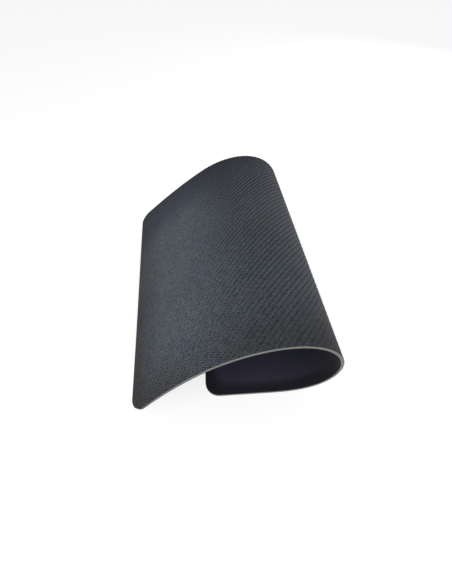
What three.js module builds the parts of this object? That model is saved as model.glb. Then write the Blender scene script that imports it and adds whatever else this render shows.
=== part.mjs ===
// A rectangular mouse pad with rounded corners, curled over so that its short lower end lies flat.
// Millimetres, +Z up. X runs along the length of the sheet, Y across it, away from the viewer.
// The pad is a laminate of three bonded sheets, each its own mesh: a foam rubber base with the
// anti-slip underside, a hot-melt film and a knitted cloth face. The rubber is outside the curl.

import * as THREE from 'three';

// Cut size of the flat sheet
const padLength = 220;
const padWidth = 180;
const cornerRadius = 8;

// Layers, from the underside to the face that the mouse runs on
const rubberThickness = 1.6;
const filmThickness = 0.1;
const clothThickness = 0.3;

// Curl: how far the lower end lies flat, along the near and the far long edge
const nearFlatLength = 33;
const farFlatLength = 31;

// Past the flat end the sheet is taken as stretches. They are alike along the near edge, where all
// but the last fill the sheet, and these shares of that length along the far edge, where they run
// past its end. The line of the bend at each station between two stretches joins its places on the
// two edges.
const farStretchShares = [
  0.86, 0.86, 0.86, 0.86, 0.86, 0.86, 0.86, 0.86, 0.86, 3.5, 1, 1, 1,
];

// At each station the sheet turns at this many degrees per stretch: up from the table, round, over,
// and hollow near its free end.
const stationTurnDegrees = [0, 20, 39, 37, 31, 29, 22, 14, 11, 11, 4, 7, -19, 0];

// Fineness of the meshes
const cornerColumns = 4;
const facetTurnDegrees = 5;
const endColumns = 8;
const widthRows = 3;
const foldsPerStretch = 24;

const padThickness = rubberThickness + filmThickness + clothThickness;
const stretchCount = farStretchShares.length;
const stretchLength = (padLength - nearFlatLength) / (stretchCount - 1);

// The stations between the stretches: place along the near edge, along the far edge, and turn.
const stations = [{ near: nearFlatLength, far: farFlatLength, turn: stationTurnDegrees[0] }];
for (const [i, share] of farStretchShares.entries()) {
  const { near, far } = stations[i];
  stations.push({
    near: near + stretchLength,
    far: far + share * stretchLength,
    turn: stationTurnDegrees[i + 1],
  });
}

// The line of the bend at a place counted in stretches past the flat end.
function bendLine(stretches) {
  const index = Math.min(Math.floor(stretches), stretchCount - 1);
  const [start, end] = [stations[index], stations[index + 1]];
  return {
    near: THREE.MathUtils.lerp(start.near, end.near, stretches - index),
    far: THREE.MathUtils.lerp(start.far, end.far, stretches - index),
    turn: THREE.MathUtils.lerp(start.turn, end.turn, stretches - index),
  };
}

// The sheet bends only across straight lines, as any flat sheet does. It is folded by a little
// along each of many close ones in turn, and each strip between two folds has its own rigid motion
// from the flat sheet to its place in the curl.
function stripMotions() {
  const motions = [new THREE.Matrix4()];
  for (let i = 1; i < stretchCount * foldsPerStretch; i += 1) {
    const { near, far, turn } = bendLine(i / foldsPerStretch);
    const axis = new THREE.Vector3(far - near, padWidth, 0).normalize();
    const angle = -THREE.MathUtils.degToRad(turn / foldsPerStretch);
    const fold = new THREE.Matrix4()
      .makeTranslation(near, 0, 0)
      .multiply(new THREE.Matrix4().makeRotationAxis(axis, angle))
      .multiply(new THREE.Matrix4().makeTranslation(-near, 0, 0));
    motions.push(motions[i - 1].clone().multiply(fold));
  }
  return motions;
}

const motions = stripMotions();

// How many stretches past the flat end the line of the bend through (u, v) lies.
function stretchesAt(u, v) {
  const places = stations.map(({ near, far }) => THREE.MathUtils.lerp(near, far, v / padWidth));
  const after = places.findIndex((place) => place > u);
  if (after === 0) return 0;
  if (after < 0) return stretchCount;
  return after - 1 + (u - places[after - 1]) / (places[after] - places[after - 1]);
}

// Place in space of the point (u, v) of the flat sheet, a height above the underside. The middle
// of the laminate keeps its flat length, and the flat end's underside lies at zero. Between the
// middles of two strips, the point is a mean of where their motions take it.
function curledPoint(u, v, height) {
  const flat = new THREE.Vector3(u, v, height - padThickness / 2);
  const strips = stretchesAt(u, v) * foldsPerStretch - 1 / 2;
  const index = THREE.MathUtils.clamp(Math.floor(strips), 0, motions.length - 2);
  const share = THREE.MathUtils.clamp(strips - index, 0, 1);
  const point = flat.clone().applyMatrix4(motions[index]);
  point.lerp(flat.applyMatrix4(motions[index + 1]), share);
  point.z += padThickness / 2;
  return point;
}

// Columns of the mesh, each a line over the sheet with its place along the near and the far long
// edge. They are close round the corners' arcs. Over the curl they are lines of the bend, with
// the same turn between any two, so that each facet is flat.
function columnLines() {
  const corner = [];
  for (let i = 0; i < cornerColumns; i += 1) {
    const angle = (i / cornerColumns) * (Math.PI / 2);
    corner.push(cornerRadius * (1 - Math.cos(angle)));
  }
  const lines = corner.map((place) => ({ near: place, far: place }));
  lines.push({ near: cornerRadius, far: cornerRadius });

  const lastPlace = padLength - cornerRadius;
  const foldSpacing = stretchLength / foldsPerStretch;
  let turned = facetTurnDegrees;
  for (let i = 0; i < stretchCount * foldsPerStretch; i += 1) {
    const line = bendLine(i / foldsPerStretch);
    if (Math.max(line.near, line.far) > lastPlace - foldSpacing) break;
    if (turned >= facetTurnDegrees) {
      lines.push(line);
      turned = 0;
    }
    turned += Math.abs(line.turn) / foldsPerStretch;
  }

  const last = lines[lines.length - 1];
  for (let i = 1; i <= endColumns; i += 1) {
    const share = i / endColumns;
    lines.push({
      near: THREE.MathUtils.lerp(last.near, lastPlace, share),
      far: THREE.MathUtils.lerp(last.far, lastPlace, share),
    });
  }
  for (const place of corner.reverse()) {
    lines.push({ near: padLength - place, far: padLength - place });
  }
  return lines;
}

const columns = columnLines();

// How far the long edge is drawn in at a distance from the flat end, by the corner's arc.
function cornerInset(u) {
  const past = cornerRadius - Math.min(u, padLength - u);
  if (past <= 0) return 0;
  return cornerRadius - Math.sqrt(Math.max(cornerRadius ** 2 - past ** 2, 0));
}

// One layer of the laminate: a slab with the sheet's plan, curled. Its two faces are cut into
// triangles alike, so that the next layer's face fits on it exactly.
function layerGeometry(bottomHeight, thickness) {
  const levels = [bottomHeight, bottomHeight + thickness];
  const positions = [];
  for (const height of levels) {
    for (const { near, far } of columns) {
      const [nearInset, farInset] = [cornerInset(near), cornerInset(far)];
      for (let row = 0; row <= widthRows; row += 1) {
        const u = THREE.MathUtils.lerp(near, far, row / widthRows);
        const v = THREE.MathUtils.lerp(nearInset, padWidth - farInset, row / widthRows);
        positions.push(...curledPoint(u, v, height).toArray());
      }
    }
  }

  const lastColumn = columns.length - 1;
  const vertex = (column, row, level) => (level * columns.length + column) * (widthRows + 1) + row;
  const triangles = [];
  const quad = (a, b, c, d) => triangles.push(a, b, c, a, c, d);
  for (let c = 0; c < lastColumn; c += 1) {
    for (let r = 0; r < widthRows; r += 1) {
      quad(vertex(c, r, 1), vertex(c + 1, r, 1), vertex(c + 1, r + 1, 1), vertex(c, r + 1, 1));
      quad(vertex(c + 1, r + 1, 0), vertex(c + 1, r, 0), vertex(c, r, 0), vertex(c, r + 1, 0));
    }
    quad(vertex(c, 0, 0), vertex(c + 1, 0, 0), vertex(c + 1, 0, 1), vertex(c, 0, 1));
    const r = widthRows;
    quad(vertex(c, r, 1), vertex(c + 1, r, 1), vertex(c + 1, r, 0), vertex(c, r, 0));
  }
  for (let r = 0; r < widthRows; r += 1) {
    quad(vertex(0, r, 1), vertex(0, r + 1, 1), vertex(0, r + 1, 0), vertex(0, r, 0));
    const c = lastColumn;
    quad(vertex(c, r, 0), vertex(c, r + 1, 0), vertex(c, r + 1, 1), vertex(c, r, 1));
  }

  const geometry = new THREE.BufferGeometry();
  geometry.setAttribute('position', new THREE.Float32BufferAttribute(positions, 3));
  geometry.setIndex(triangles);
  return geometry;
}

// Foam rubber base: charcoal, matt, its embossed underside on the outside of the curl
function rubberBase() {
  const material = new THREE.MeshStandardMaterial({ color: 0x4a4e52, roughness: 0.75, metalness: 0 });
  const mesh = new THREE.Mesh(layerGeometry(0, rubberThickness), material);
  mesh.name = 'rubber_base';
  return mesh;
}

// Hot-melt film that bonds the cloth to the rubber all over
function adhesiveFilm() {
  const material = new THREE.MeshStandardMaterial({ color: 0x6b6a5e, roughness: 0.5, metalness: 0 });
  const mesh = new THREE.Mesh(layerGeometry(rubberThickness, filmThickness), material);
  mesh.name = 'adhesive_film';
  return mesh;
}

// Knitted polyester face: navy black, on the inside of the curl
function clothTop() {
  const material = new THREE.MeshStandardMaterial({ color: 0x20202a, roughness: 0.9, metalness: 0 });
  const height = rubberThickness + filmThickness;
  const mesh = new THREE.Mesh(layerGeometry(height, clothThickness), material);
  mesh.name = 'cloth_top';
  return mesh;
}

const pad = new THREE.Group();
pad.add(rubberBase(), adhesiveFilm(), clothTop());

// The origin is on the table, under the middle of the curled pad.
const extent = new THREE.Box3().setFromObject(pad);
const middle = extent.getCenter(new THREE.Vector3());
pad.position.set(-middle.x, -middle.y, 0);

export default pad;
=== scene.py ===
import math

import bpy
import numpy as np
from mathutils import Matrix, Vector


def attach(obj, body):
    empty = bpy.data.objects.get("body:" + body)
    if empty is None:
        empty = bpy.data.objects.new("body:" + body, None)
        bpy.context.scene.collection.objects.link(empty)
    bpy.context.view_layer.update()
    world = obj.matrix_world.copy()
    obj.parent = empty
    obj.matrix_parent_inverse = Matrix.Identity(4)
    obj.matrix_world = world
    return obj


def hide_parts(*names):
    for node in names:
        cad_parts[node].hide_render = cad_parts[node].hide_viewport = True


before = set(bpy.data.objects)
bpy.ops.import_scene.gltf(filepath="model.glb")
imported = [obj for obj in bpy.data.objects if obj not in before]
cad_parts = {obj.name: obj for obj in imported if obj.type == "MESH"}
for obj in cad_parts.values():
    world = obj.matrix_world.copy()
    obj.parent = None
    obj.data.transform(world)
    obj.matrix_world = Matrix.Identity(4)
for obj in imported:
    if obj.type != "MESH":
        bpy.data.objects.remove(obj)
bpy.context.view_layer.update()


# Camera. The photograph was taken close above the near edge of the pad, looking steeply down,
# so the lens is a wide one and the near end looks much larger than the far end.
photo_height_px = 584
focal_length_px = 328.8
sensor_mm = 36
nearest_seen = 0.005
camera_place = Vector((0.00301, -0.15823, 0.18270))
camera_turn = math.radians(1.00)
camera_dip = math.radians(50.22)
camera_roll = math.radians(-2.69)

camera = bpy.data.objects.new("camera", bpy.data.cameras.new("camera"))
camera.data.sensor_width = sensor_mm
camera.data.lens = focal_length_px * sensor_mm / photo_height_px
camera.data.clip_start = nearest_seen
camera.matrix_world = (
    Matrix.Translation(camera_place)
    @ Matrix.Rotation(-camera_turn, 4, "Z")
    @ Matrix.Rotation(math.pi / 2 - camera_dip, 4, "X")
    @ Matrix.Rotation(camera_roll, 4, "Z")
)
bpy.context.scene.collection.objects.link(camera)
bpy.context.scene.camera = camera
bpy.context.scene.view_settings.view_transform = "Standard"


# Studio. A plain white sweep under an even sky, with one large soft box in front above the pad, a
# low one at its left and one behind it at the right. The sweep and the sky look white and still
# light the pad at a plain level, and the sweep keeps its shadow.
floor_half = 4.0
floor_drop = 0.00005
floor_white = (0.88, 0.88, 0.88, 1)
floor_roughness = 0.9
floor_seen_white = 1.28
floor_seen_share = 0.55
sky_white = (1.0, 1.0, 1.0, 1)
sky_strength = 0.52
sky_seen_strength = 1.0
box_side = 0.40
box_aim = Vector((0, 0, 0.03))


class Wire:
    """An output socket of a finish. Sums written on wires add Math nodes to that finish."""

    def __init__(self, finish, socket):
        self.finish = finish
        self.socket = socket

    def maths(self, operation, *values):
        return self.finish.node("ShaderNodeMath", {"operation": operation}, dict(enumerate(values)))

    def __add__(self, other):
        return self.maths("ADD", self, other)

    def __radd__(self, other):
        return self.maths("ADD", other, self)

    def __sub__(self, other):
        return self.maths("SUBTRACT", self, other)

    def __rsub__(self, other):
        return self.maths("SUBTRACT", other, self)

    def __mul__(self, other):
        return self.maths("MULTIPLY", self, other)

    def __rmul__(self, other):
        return self.maths("MULTIPLY", other, self)

    def __truediv__(self, other):
        return self.maths("DIVIDE", self, other)

    def __rtruediv__(self, other):
        return self.maths("DIVIDE", other, self)

    def sine(self):
        return self.maths("SINE", self)

    def floor(self):
        return self.maths("FLOOR", self)

    def size(self):
        return self.maths("ABSOLUTE", self)

    def between(self, low, high):
        """0 below low, 1 above high and a soft step from one to the other."""
        settings = {"interpolation_type": "SMOOTHSTEP"}
        sockets = {"Value": self, "From Min": low, "From Max": high}
        return self.finish.node("ShaderNodeMapRange", settings, sockets)


class Finish:
    """The nodes of a material or of the sky. node() adds one of any type."""

    def __init__(self, owner):
        self.owner = owner
        owner.use_nodes = True
        self.tree = owner.node_tree
        self.tree.nodes.clear()

    def node(self, kind, settings=None, sockets=None, output=0):
        made = self.tree.nodes.new(kind)
        for name, value in (settings or {}).items():
            setattr(made, name, value)
        for name, value in (sockets or {}).items():
            if isinstance(value, Wire):
                self.tree.links.new(value.socket, made.inputs[name])
            else:
                made.inputs[name].default_value = value
        return Wire(self, made.outputs[output]) if made.outputs else None

    def mixed(self, share, first, second, way="MIX"):
        """The colour first where share is 0 and second, or both together, where it is 1."""
        settings = {"data_type": "RGBA", "blend_type": way}
        factor, first_place, second_place, result = 0, 6, 7, 2
        sockets = {factor: share, first_place: first, second_place: second}
        return self.node("ShaderNodeMix", settings, sockets, result)

    def seen(self):
        """1 where the camera, a reflection or a clear piece sees the surface, 0 in its light."""
        ray = "ShaderNodeLightPath"
        camera_ray = self.node(ray, None, None, "Is Camera Ray")
        glossy_ray = self.node(ray, None, None, "Is Glossy Ray")
        return camera_ray + glossy_ray + self.node(ray, None, None, "Is Transmission Ray")

    def out(self, surface, kind="ShaderNodeOutputMaterial"):
        self.node(kind, None, {"Surface": surface})
        return self.owner


def sweep_finish():
    finish = Finish(bpy.data.materials.new("white_sweep"))
    paper_sockets = {"Base Color": floor_white, "Roughness": floor_roughness}
    paper = finish.node("ShaderNodeBsdfPrincipled", None, paper_sockets)
    glow = finish.node("ShaderNodeEmission", None, {"Color": sky_white, "Strength": floor_seen_white})
    sockets = {0: finish.seen() * floor_seen_share, 1: paper, 2: glow}
    return finish.out(finish.node("ShaderNodeMixShader", None, sockets))


def sky():
    finish = Finish(bpy.data.worlds.new("sky"))
    light, backdrop = (
        finish.node("ShaderNodeBackground", None, {"Color": sky_white, "Strength": strength})
        for strength in (sky_strength, sky_seen_strength)
    )
    sockets = {0: finish.seen(), 1: light, 2: backdrop}
    return finish.out(finish.node("ShaderNodeMixShader", None, sockets), "ShaderNodeOutputWorld")


def sweep():
    mesh = bpy.data.meshes.new("floor")
    corner_sides = [(-1, -1), (1, -1), (1, 1), (-1, 1)]
    corners = [(x * floor_half, y * floor_half, -floor_drop) for x, y in corner_sides]
    mesh.from_pydata(corners, [], [(0, 1, 2, 3)])
    mesh.materials.append(sweep_finish())
    made = bpy.data.objects.new("floor", mesh)
    bpy.context.scene.collection.objects.link(made)


def soft_box(name, place, watts):
    lamp = bpy.data.lights.new(name, "AREA")
    lamp.size = box_side
    lamp.energy = watts
    made = bpy.data.objects.new(name, lamp)
    made.visible_camera = False
    facing = (box_aim - Vector(place)).to_track_quat("-Z", "Y")
    made.matrix_world = Matrix.Translation(place) @ facing.to_matrix().to_4x4()
    bpy.context.scene.collection.objects.link(made)


sweep()
soft_box("front_box", (-0.04, -0.36, 0.48), 1.5)
soft_box("left_box", (-0.60, -0.15, 0.22), 0.45)
soft_box("rear_box", (0.40, 0.36, 0.28), 0.9)
bpy.context.scene.world = sky()


# Rubber base. A foamed natural-rubber sheet, charcoal, with a twill-woven anti-slip pattern
# pressed into its underside. It is die-cut in one stroke with the cloth, and is outside the curl.
pad_length = 0.220
pad_width = 0.180
corner_radius = 0.008
rubber_thickness = 0.0016
film_thickness = 0.0001
cloth_thickness = 0.0003
pad_thickness = rubber_thickness + film_thickness + cloth_thickness
mm_per_metre = 1000

# The curl, as in the solids: a flat end, then stretches, alike along the near edge and with these
# shares of that length along the far edge. At the stations between them the sheet turns at the
# degrees given per stretch.
near_flat = 0.033
far_flat = 0.031
far_stretch_shares = [0.86] * 9 + [3.5, 1, 1, 1]
station_degrees = [0, 20, 39, 37, 31, 29, 22, 14, 11, 11, 4, 7, -19, 0]
folds_per_stretch = 24

# The pressed twill: four threads to a rib each way, its grooves going into the sheet. They are
# shallower past the crown of the curl and towards the near edge.
threads_per_rib = 4
thread_pitch_long = 0.000874
thread_pitch_wide = 0.000940
rib_long = threads_per_rib * thread_pitch_long
rib_wide = threads_per_rib * thread_pitch_wide
rib_depth = 0.00013
groove_sharpness = 1.5
pressed_long = (0.115, 0.160)
pressed_wide = (0.000, 0.050)
pressed_least = 0.3

# The cut edge: the skin is drawn round it by the die, and the foam stands a hair hollow.
edge_roll = 0.00020
skin_lip = edge_roll * 1.6
edge_hollow = 0.00004

# The points of the meshes: five to a rib on the underside, and few rows on faces that are smooth.
steps_per_rib = 5
corner_steps = 16
smooth_row_step = 16
sharp_angle = math.radians(50)

stretch_count = len(far_stretch_shares)
stretch_length = (pad_length - near_flat) / (stretch_count - 1)
near_places = near_flat + stretch_length * np.arange(stretch_count + 1)
far_places = far_flat + stretch_length * np.cumsum([0, *far_stretch_shares])


def strip_motions():
    """The sheet is folded a little along close lines. Each strip between two has one motion."""
    motions = [Matrix.Identity(4)]
    stations = range(stretch_count + 1)
    for i in range(1, stretch_count * folds_per_stretch):
        stretches = i / folds_per_stretch
        near = np.interp(stretches, stations, near_places)
        far = np.interp(stretches, stations, far_places)
        degrees = np.interp(stretches, stations, station_degrees)
        line_foot = Matrix.Translation((near, 0, 0))
        line_way = Vector((far - near, pad_width, 0))
        fold = Matrix.Rotation(-math.radians(degrees / folds_per_stretch), 4, line_way)
        motions.append(motions[-1] @ line_foot @ fold @ line_foot.inverted())
    return np.array(motions)


motions = strip_motions()


def curled(u, v, height):
    """Places in space of points of the flat sheet, heights above the nominal underside."""
    across = (v / pad_width)[:, None]
    places = near_places * (1 - across) + far_places * across
    before = np.clip((places <= u[:, None]).sum(1) - 1, 0, stretch_count - 1)
    row = np.arange(len(u))
    start, end = places[row, before], places[row, before + 1]
    strips = (before + (u - start) / (end - start)) * folds_per_stretch - 0.5
    index = np.clip(np.floor(strips), 0, len(motions) - 2).astype(int)
    share = np.clip(strips - index, 0, 1)[:, None]
    flat = np.stack([u, v, height - pad_thickness / 2, np.ones(len(u))], 1)
    first = np.einsum("nij,nj->ni", motions[index], flat)
    second = np.einsum("nij,nj->ni", motions[index + 1], flat)
    points = (first * (1 - share) + second * share)[:, :3]
    points[:, 2] += pad_thickness / 2
    return points


def sheet_grid():
    """Columns along the flat sheet, close round the corners' arcs, and the rows across it."""
    angles = [i / corner_steps * math.pi / 2 for i in range(corner_steps + 1)]
    arc = [corner_radius * (1 - math.cos(angle)) for angle in angles]
    step = rib_long / steps_per_rib
    low, high = corner_radius + step / 2, pad_length - corner_radius - step / 2
    middle = [k * step for k in range(math.ceil(low / step), math.floor(high / step) + 1)]
    columns = np.array(arc + middle + [pad_length - a for a in reversed(arc)])

    step = rib_wide / steps_per_rib
    edge = [0, edge_roll / 2, edge_roll * 1.5]
    middle = [k * step for k in range(1, round(pad_width / step))]
    rows = np.array(edge + middle + [pad_width - e for e in reversed(edge)])

    past = corner_radius - np.minimum(columns, pad_length - columns).clip(max=corner_radius)
    inset = corner_radius - np.sqrt(corner_radius**2 - past**2)
    u = np.repeat(columns[:, None], len(rows), 1)
    v = inset[:, None] + rows[None, :] / pad_width * (pad_width - 2 * inset[:, None])
    return u, v


grid_u, grid_v = sheet_grid()
column_count, row_count = grid_u.shape
edge_rows = {0, 1, 2, row_count - 3, row_count - 2, row_count - 1}
sparse_rows = sorted(edge_rows.union(range(2, row_count - 2, smooth_row_step)))


def from_outline(u, v):
    """How far a point of the flat sheet lies inside its rounded outline."""
    x = np.abs(u - pad_length / 2) - (pad_length / 2 - corner_radius)
    y = np.abs(v - pad_width / 2) - (pad_width / 2 - corner_radius)
    outside = np.hypot(x.clip(min=0), y.clip(min=0))
    return corner_radius - outside - np.minimum(np.maximum(x, y), 0)


def edge_rounding(radius):
    """How far a face sinks over the grid where its edge is rounded to a radius."""
    inside = from_outline(grid_u, grid_v).clip(0, radius)
    return radius - np.sqrt(radius**2 - (radius - inside) ** 2)


def rim_places():
    """Grid places round the outline in order, and the way out of the sheet at each."""
    last_column, last_row = column_count - 1, row_count - 1
    places = [(c, 0) for c in range(last_column)]
    places += [(last_column, r) for r in range(last_row)]
    places += [(c, last_row) for c in range(last_column, 0, -1)]
    places += [(0, r) for r in range(last_row, 0, -1)]
    c, r = np.array(places).T
    u, v = grid_u[c, r], grid_v[c, r]
    du = np.roll(u, -1) - np.roll(u, 1)
    dv = np.roll(v, -1) - np.roll(v, 1)
    length = np.hypot(du, dv)
    return c, r, u, v, dv / length, -du / length


rim_c, rim_r, rim_u, rim_v, out_u, out_v = rim_places()

# The solids stand with the middle of their box over the origin.
rim_box = np.concatenate([curled(rim_u, rim_v, np.full(rim_u.size, h)) for h in (0, pad_thickness)])
curl_middle = (rim_box.min(0) + rim_box.max(0)) / 2 * (1, 1, 0)


class Layer:
    """One layer of the pad under construction: its points on the flat sheet, and its faces."""

    def __init__(self):
        self.places = []
        self.count = 0
        self.faces = []
        self.slots = []

    def points(self, u, v, height):
        """Adds points of the flat sheet, and gives their numbers."""
        u, v = np.broadcast_arrays(u, v)
        height = np.broadcast_to(height, u.shape)
        self.places.append(np.stack([u.ravel(), v.ravel(), height.ravel()], 1))
        self.count += u.size
        return np.arange(self.count - u.size, self.count).reshape(u.shape)

    def ring(self, height, out=0.0):
        """Points all round the outline, moved out of the sheet by a distance."""
        return self.points(rim_u + out_u * out, rim_v + out_v * out, height)

    def add(self, faces, slot):
        self.faces += faces
        self.slots += [slot] * len(faces)

    def wall(self, low, high, slot):
        """The cut edge between two rings."""
        after_low, after_high = np.roll(low, -1), np.roll(high, -1)
        self.add(np.stack([low, after_low, after_high, high], 1).tolist(), slot)

    def fine_face(self, ring, height, slot):
        """A face on the whole grid, looking away from the cloth, cut along the ribs."""
        index = np.zeros((column_count, row_count), int)
        inner = np.s_[1:-1, 1:-1]
        index[inner] = self.points(grid_u[inner], grid_v[inner], height[inner])
        index[rim_c, rim_r] = ring
        a, b, c, d = index[:-1, :-1], index[1:, :-1], index[1:, 1:], index[:-1, 1:]
        self.add(np.stack([a, d, b], -1).reshape(-1, 3).tolist(), slot)
        self.add(np.stack([b, d, c], -1).reshape(-1, 3).tolist(), slot)

    def plain_face(self, ring, height, slot, cloth_side):
        """A face with few rows. Its two end strips take up every point of the outline."""
        height = np.broadcast_to(height, grid_u.shape)
        index = np.full((column_count, row_count), -1)
        inner = np.ix_(range(1, column_count - 1), sparse_rows[1:-1])
        index[inner] = self.points(grid_u[inner], grid_v[inner], height[inner])
        index[rim_c, rim_r] = ring
        found = []
        for low, high in zip(sparse_rows, sparse_rows[1:]):
            first = index[0, low : high + 1].tolist()
            found.append([index[1, low], index[1, high], *reversed(first)])
            last = index[-1, low : high + 1].tolist()
            found.append([*last, index[-2, high], index[-2, low]])
            a, b = index[1:-2, low], index[2:-1, low]
            c, d = index[2:-1, high], index[1:-2, high]
            found += np.stack([a, b, c, d], -1).tolist()
        self.add(found if cloth_side else [face[::-1] for face in found], slot)

    def piece(self, name, finishes):
        """The layer curled, as a mesh that also knows its places on the flat sheet in mm."""
        u, v, height = np.concatenate(self.places).T
        mesh = bpy.data.meshes.new(name)
        mesh.from_pydata((curled(u, v, height) - curl_middle).tolist(), [], self.faces)
        for finish in finishes:
            mesh.materials.append(finish)
        mesh.polygons.foreach_set("material_index", self.slots)
        mesh.polygons.foreach_set("use_smooth", [True] * len(self.faces))
        flat = mesh.attributes.new("flat_place", "FLOAT_VECTOR", "POINT")
        flat.data.foreach_set("vector", (np.stack([u, v, height], 1) * mm_per_metre).ravel())
        edge = mesh.attributes.new("from_edge", "FLOAT", "POINT")
        edge.data.foreach_set("value", from_outline(u, v) * mm_per_metre)
        mesh.set_sharp_from_angle(angle=sharp_angle)
        made = bpy.data.objects.new(name, mesh)
        bpy.context.scene.collection.objects.link(made)
        return made


def underside_height():
    """Heights of the pressed underside over the grid: the grooves, and the roll at the edge."""
    phase = 2 * math.pi * (grid_u / rib_long + grid_v / rib_wide)
    pressed_along = np.interp(grid_u, pressed_long, (1, pressed_least))
    pressed_across = np.interp(grid_v, pressed_wide, (pressed_least, 1))
    wave = (0.5 + 0.5 * np.sin(phase)) ** groove_sharpness
    groove = rib_depth * wave * (pressed_along * pressed_across)
    roll = edge_rounding(edge_roll)
    return roll + groove * (1 - roll / edge_roll)


# The skin's colours, and the tones that dull or lighten them over parts of the sheet: painted light
# on the flap past the crown, painted shade along the outline, the near edge and towards the far edge,
# and cool patches.
skin_groove = (0.006, 0.007, 0.009, 1)
skin_ridge = (0.089, 0.103, 0.117, 1)
flap_painted_light_tone = (1.60, 1.62, 1.57, 1)
cool_tone = (0.92, 0.95, 1.05, 1)
outline_painted_shade_tone = (0.54, 0.465, 0.455, 1)
far_painted_shade_tone = (0.45, 0.56, 0.78, 1)
far_flap_painted_shade_tone = (0.44, 0.48, 0.59, 1)

# Where those parts begin and end, in mm of the flat sheet's length and width and from its edge.
rubbed_and_shaded_from_to = (118.0, 172.0)
flap_painted_light_from_to = (131.0, 179.0)
flap_painted_light_fade_from_to = (185.0, 220.0)
clear_until_from_to = (165.0, 195.0)
firm_across = (0.0, 60.0)
near_across = (5.0, 45.0)
deep_across = (110.0, 150.0)
far_across = (122.0, 172.0)
far_corner_from_to = (180.0, 215.0)
far_corner_across = (100.0, 150.0)
outline_painted_shade_inwards = (-4.0, 26.0)

# How strong each tone is there.
flap_painted_light_fade = 0.4
border_clear = 0.65
far_share = 0.7
far_flap_shade_share = 0.6
far_corner_share = 0.2

# Painted shade along the near edge: how strong it is at the flat end, and its changes along the
# sheet.
near_edge_shade_at_flat_end = 0.75
near_edge_shade_changes = (((108.0, 134.0), -0.33), ((150.0, 185.0), -0.40), ((190.0, 225.0), 0.35))

# The weave. The grooves and creases take up these parts of a rib's wave, which wavers, and the
# grooves are of uneven depth. They are faint towards the near edge, deeper towards the far one,
# and rubbed flat past the crown, where the knuckles of the threads stand out instead.
rib_waver = 0.6
groove_wave = (-0.2, 1.0)
crease_wave = (0.2, 1.0)
groove_least = 0.75
groove_spread = 0.5
groove_deeper = 2.0
groove_faint = 0.45
groove_rubbed = 0.9
knuckle_shade = 0.24
knuckle_rubbed_shade = 0.36

# How much each part of the weave and each mottle of the rubber lightens or darkens the skin.
plain_tone = 0.22
knuckle_light = 1.45
# The grooves and creases are darkened as painted shade, more where they are pressed deeper.
groove_painted_shade = 0.66
crease_painted_shade = 0.42
rib_light = 0.10
rib_rubbed_light = 0.42
thread_light = 0.7
thread_rubbed_dark = 0.1
# Painted shade over the sheet from the crown of the curl to its free end.
crown_painted_shade = 0.15
grain_light = 0.7
pebble_light = 0.12
pebble_span = (0.3, 0.7)
cloud_light = 0.3
patch_span = (0.35, 0.65)
tone_span = (-0.3, 1.5)

# How much each raises or lowers the skin, as shares of the depth of the threads.
thread_depth = 0.00020
knuckle_rise = 0.42
groove_fall = 0.35
crease_fall = 0.22
grain_rise = 0.3


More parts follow.
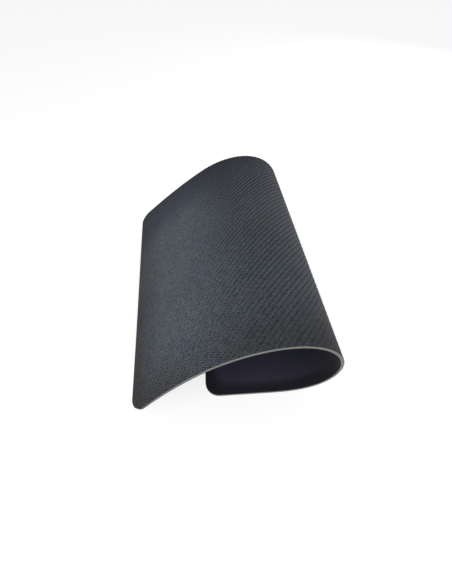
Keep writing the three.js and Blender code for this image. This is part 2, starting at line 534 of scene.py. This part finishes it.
def skin_finish():
    """Charcoal rubber skin: the twill's threads with abraded tops and painted shade in the grooves,
    its wear, and painted light and shade over parts of the sheet.
    """
    finish = Finish(bpy.data.materials.new("embossed_rubber_skin"))
    attribute, noise = "ShaderNodeAttribute", "ShaderNodeTexNoise"
    flat = finish.node(attribute, {"attribute_name": "flat_place"}, None, "Vector")
    edge = finish.node(attribute, {"attribute_name": "from_edge"}, None, "Fac")
    u, v = (finish.node("ShaderNodeSeparateXYZ", None, {"Vector": flat}, axis) for axis in "XY")

    grain = finish.node(noise, None, {"Vector": flat, "Scale": 2.2, "Detail": 3.0, "Roughness": 0.6})
    pebbles = finish.node(noise, None, {"Vector": flat, "Scale": 1.05, "Detail": 1.0})
    clouds = finish.node(noise, None, {"Vector": flat, "Scale": 0.045, "Detail": 3.0})
    patches = finish.node(noise, None, {"Vector": flat, "Scale": 0.07, "Detail": 2.0})
    rubbed_and_shaded = u.between(*rubbed_and_shaded_from_to)
    firm = groove_faint + v.between(*firm_across) * (1 - groove_faint)
    pressed = (1 - rubbed_and_shaded * groove_rubbed) * firm

    # The weave, counted in threads each way. A crossing of two threads lies between whole numbers.
    rib_turn = 2 * math.pi / threads_per_rib
    long_thread = u / (thread_pitch_long * mm_per_metre)
    wide_thread = v / (thread_pitch_wide * mm_per_metre)
    long_count, wide_count = long_thread.floor(), wide_thread.floor()
    crossing = finish.node("ShaderNodeCombineXYZ", None, {"X": long_count, "Y": wide_count})
    chance = finish.node("ShaderNodeTexWhiteNoise", {"noise_dimensions": "2D"}, {"Vector": crossing})
    slant = ((long_thread + wide_thread + (grain - 0.5) * rib_waver) * rib_turn).sine()
    depth = (groove_least + chance * groove_spread) * (1 + v.between(*deep_across) * groove_deeper)
    groove = slant.between(*groove_wave) * depth
    crease = (slant * -1).between(*crease_wave)
    under = ((long_count + wide_count + 1) * rib_turn).sine()
    across = ((long_thread + wide_count + 0.5) * rib_turn).sine()
    pillow = (long_thread * math.pi).sine().size() * (wide_thread * math.pi).sine().size()
    shade = knuckle_shade + rubbed_and_shaded * knuckle_rubbed_shade
    knuckle = pillow * (1 - (under + across) * shade)

    # The weave's tone, with painted shade in its grooves and creases.
    weave = knuckle * knuckle_light - (groove * groove_painted_shade + crease * crease_painted_shade) * pressed
    weave = weave + slant * (rib_light + rubbed_and_shaded * rib_rubbed_light)
    weave = weave + (chance - 0.5) * (thread_light - rubbed_and_shaded * thread_rubbed_dark)
    mottle = (grain - 0.5) * grain_light + (clouds - 0.5) * cloud_light
    mottle = mottle + (pebbles.between(*pebble_span) - 0.5) * pebble_light
    # The skin's tone: its weave, mottle and wear, with painted shade from the crown to the free end.
    worn_and_shaded = plain_tone + weave + mottle - rubbed_and_shaded * crown_painted_shade
    colour = finish.mixed(worn_and_shaded.between(*tone_span), skin_groove, skin_ridge)

    # Painted light on the flap past the crown, weaker near its free end.
    flap_painted_light = u.between(*flap_painted_light_from_to) - u.between(*flap_painted_light_fade_from_to) * flap_painted_light_fade
    colour = finish.mixed(flap_painted_light, colour, flap_painted_light_tone, "MULTIPLY")
    colour = finish.mixed(patches.between(*patch_span), colour, cool_tone, "MULTIPLY")

    # Painted shade in a band along the near edge, changing in strength along the sheet.
    near = 1 - v.between(*near_across)
    near_edge_shade = near_edge_shade_at_flat_end
    for from_to, change in near_edge_shade_changes:
        near_edge_shade = near_edge_shade + u.between(*from_to) * change
    clear = near * (1 - u.between(*clear_until_from_to)) * border_clear
    # Painted shade along the whole outline, partly cleared along the near edge short of the free end.
    outline_painted_shade = (1 - edge.between(*outline_painted_shade_inwards)) * (1 - clear)
    colour = finish.mixed(outline_painted_shade + near * near_edge_shade, colour, outline_painted_shade_tone, "MULTIPLY")

    # Painted shade, cool and dark, towards the far edge and its far corner, stronger from the crown
    # to the free end.
    far_corner = v.between(*far_corner_across) * u.between(*far_corner_from_to)
    far_painted_shade = v.between(*far_across) * (far_share + rubbed_and_shaded * far_flap_shade_share)
    far_painted_shade = far_painted_shade + far_corner * far_corner_share
    far = finish.mixed(rubbed_and_shaded, far_painted_shade_tone, far_flap_painted_shade_tone)
    colour = finish.mixed(far_painted_shade, colour, far, "MULTIPLY")

    relief = knuckle * knuckle_rise - (groove * groove_fall + crease * crease_fall) * pressed
    relief = relief + grain * grain_rise
    bump_sockets = {"Strength": 1.0, "Distance": thread_depth, "Height": relief}
    sockets = {
        "Base Color": colour,
        "Roughness": 0.62 + grain * 0.2,
        "Specular IOR Level": 0.12,
        "Sheen Weight": 0.03,
        "Sheen Roughness": 0.45,
        "Normal": finish.node("ShaderNodeBump", None, bump_sockets),
    }
    return finish.out(finish.node("ShaderNodeBsdfPrincipled", None, sockets))


# The raw cut: the foam's colours and cells, and the dark skin that the die draws over its outer side.
# The dark line is made wider towards the free end.
foam_light = (0.233, 0.241, 0.228, 1)
foam_dark = (0.107, 0.112, 0.103, 1)
foam_skin = (0.060, 0.063, 0.062, 1)
cell_wall = (0.12, 0.42)
cell_light = 0.7
cell_depth = 0.00008
foam_grain_light = 0.6
foam_grain_rise = 0.5
foam_tone_drop = 0.1
skin_line_mm = (0.10, 0.32)
dark_line_widens_from_to = (150.0, 214.0)
dark_line_widening_mm = 0.8


def cut_foam_finish():
    """The raw cut: grey-olive foam with open cells, and the dark skin as a line along it."""
    finish = Finish(bpy.data.materials.new("cut_foam_rubber"))
    flat = finish.node("ShaderNodeAttribute", {"attribute_name": "flat_place"}, None, "Vector")
    u, height = (finish.node("ShaderNodeSeparateXYZ", None, {"Vector": flat}, axis) for axis in "XZ")
    cell_sockets = {"Vector": flat, "Scale": 4.2, "Randomness": 1.0}
    cells = finish.node("ShaderNodeTexVoronoi", None, cell_sockets, "Distance")
    open_cell = cells.between(*cell_wall)
    grain_sockets = {"Vector": flat, "Scale": 1.1, "Detail": 5.0, "Roughness": 0.65}
    grain = finish.node("ShaderNodeTexNoise", None, grain_sockets)
    light = open_cell * cell_light + grain * foam_grain_light - foam_tone_drop
    foam = finish.mixed(light.between(0.0, 1.0), foam_dark, foam_light)
    # The dark line on the cut is made wider towards the free end.
    line_widening = u.between(*dark_line_widens_from_to) * dark_line_widening_mm
    colour = finish.mixed(1 - (height - line_widening).between(*skin_line_mm), foam, foam_skin)
    relief = open_cell + grain * foam_grain_rise
    bump_sockets = {"Strength": 1.0, "Distance": cell_depth, "Height": relief}
    sockets = {
        "Base Color": colour,
        "Roughness": 0.75 + grain * 0.2,
        "Specular IOR Level": 0.35,
        "Normal": finish.node("ShaderNodeBump", None, bump_sockets),
    }
    return finish.out(finish.node("ShaderNodeBsdfPrincipled", None, sockets))


def rubber_base():
    layer = Layer()
    height = underside_height()
    skin, cut = 0, 1
    ring = layer.ring(height[rim_c, rim_r])
    layer.fine_face(ring, height, skin)
    middle = (edge_roll + rubber_thickness) / 2
    for level, out in ((skin_lip, 0), (middle, -edge_hollow), (rubber_thickness, 0)):
        above = layer.ring(level, out)
        layer.wall(ring, above, cut)
        ring = above
    layer.plain_face(ring, rubber_thickness, cut, cloth_side=True)
    return layer.piece("foam_rubber_base", [skin_finish(), cut_foam_finish()])


base = rubber_base()
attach(base, "root")
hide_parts("rubber_base")


# Adhesive film. A clear-grey hot-melt film that bonds the cloth to the rubber all over. It shows
# only as a fine line at the cut edge, where the die has left it a hair short.
film_back = 0.00003
film_light = (0.180, 0.178, 0.150, 1)
film_dark = (0.080, 0.080, 0.070, 1)
streak_span = (0.3, 0.7)
streak_depth = 0.00003


def film_finish():
    finish = Finish(bpy.data.materials.new("hot_melt_film"))
    flat = finish.node("ShaderNodeAttribute", {"attribute_name": "flat_place"}, None, "Vector")
    streaks = finish.node("ShaderNodeTexNoise", None, {"Vector": flat, "Scale": 1.8, "Detail": 4.0})
    bump_sockets = {"Strength": 0.6, "Distance": streak_depth, "Height": streaks}
    sockets = {
        "Base Color": finish.mixed(streaks.between(*streak_span), film_dark, film_light),
        "Roughness": 0.35 + streaks * 0.3,
        "Normal": finish.node("ShaderNodeBump", None, bump_sockets),
    }
    return finish.out(finish.node("ShaderNodeBsdfPrincipled", None, sockets))


def adhesive_film():
    layer = Layer()
    low, high = rubber_thickness, rubber_thickness + film_thickness
    below, above = layer.ring(low, -film_back), layer.ring(high, -film_back)
    layer.wall(below, above, 0)
    layer.plain_face(below, low, 0, cloth_side=False)
    layer.plain_face(above, high, 0, cloth_side=True)
    return layer.piece("hot_melt_adhesive_film", [film_finish()])


film = adhesive_film()
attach(film, "root")
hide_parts("adhesive_film")


# Cloth top. A fine knitted polyester face, navy black, that the mouse runs on. It is bonded to
# the rubber all over and cut with it, so its edge is raw and pressed a little flatter.
cloth_edge_roll = 0.00012
wale_pitch = 0.00042
course_pitch = 0.00034
yarn_dark = (0.0090, 0.0090, 0.0150, 1)
yarn_light = (0.0500, 0.0490, 0.0830, 1)
yarn_depth = 0.00006
loop_lean = 0.45
limb_share = 0.55
loop_share = 0.45
knit_light = 0.55
lint_light = 0.4
lint_rise = 0.3
cloth_cloud_light = 0.2
# Painted shade inside the bend of the curl and along the cloth's edge.
bend_shade_from_to = (35.0, 75.0)
bend_painted_shade = 0.35
cloth_edge_shade_inwards = (0.5, 9.0)
cloth_edge_painted_shade = 0.85
yarn_span = (-0.2, 1.0)


def knit_finish():
    """Plain knit: two leaning limbs to each loop, wale beside wale, in matt yarn."""
    finish = Finish(bpy.data.materials.new("navy_black_knit"))
    attribute, noise = "ShaderNodeAttribute", "ShaderNodeTexNoise"
    flat = finish.node(attribute, {"attribute_name": "flat_place"}, None, "Vector")
    edge = finish.node(attribute, {"attribute_name": "from_edge"}, None, "Fac")
    u, v = (finish.node("ShaderNodeSeparateXYZ", None, {"Vector": flat}, axis) for axis in "XY")
    wale = (v / (wale_pitch * mm_per_metre) * (2 * math.pi)).sine()
    course = u / (course_pitch * mm_per_metre)
    loops = ((course + wale * loop_lean) * (2 * math.pi)).sine() * 0.5 + 0.5
    knit = wale.size() * limb_share + loops * loop_share
    lint = finish.node(noise, None, {"Vector": flat, "Scale": 1.4, "Detail": 5.0, "Roughness": 0.65})
    clouds = finish.node(noise, None, {"Vector": flat, "Scale": 0.05, "Detail": 2.0})
    # Painted shade along the cloth's edge and inside the bend.
    cloth_painted_shade = (1 - edge.between(*cloth_edge_shade_inwards)) * cloth_edge_painted_shade
    cloth_painted_shade = cloth_painted_shade + u.between(*bend_shade_from_to) * bend_painted_shade
    light = knit * knit_light + lint * lint_light + (clouds - 0.5) * cloth_cloud_light - cloth_painted_shade
    relief = knit + lint * lint_rise
    bump_sockets = {"Strength": 0.8, "Distance": yarn_depth, "Height": relief}
    sockets = {
        "Base Color": finish.mixed(light.between(*yarn_span), yarn_dark, yarn_light),
        "Roughness": 0.82 + lint * 0.15,
        "Specular IOR Level": 0.2,
        "Sheen Weight": 0.08,
        "Sheen Roughness": 0.5,
        "Normal": finish.node("ShaderNodeBump", None, bump_sockets),
    }
    return finish.out(finish.node("ShaderNodeBsdfPrincipled", None, sockets))


def cloth_top():
    layer = Layer()
    low = rubber_thickness + film_thickness
    height = pad_thickness - edge_rounding(cloth_edge_roll)
    below, above = layer.ring(low), layer.ring(height[rim_c, rim_r])
    layer.wall(below, above, 0)
    layer.plain_face(below, low, 0, cloth_side=False)
    layer.plain_face(above, height, 0, cloth_side=True)
    return layer.piece("knitted_cloth_top", [knit_finish()])


cloth = cloth_top()
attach(cloth, "root")
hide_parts("cloth_top")
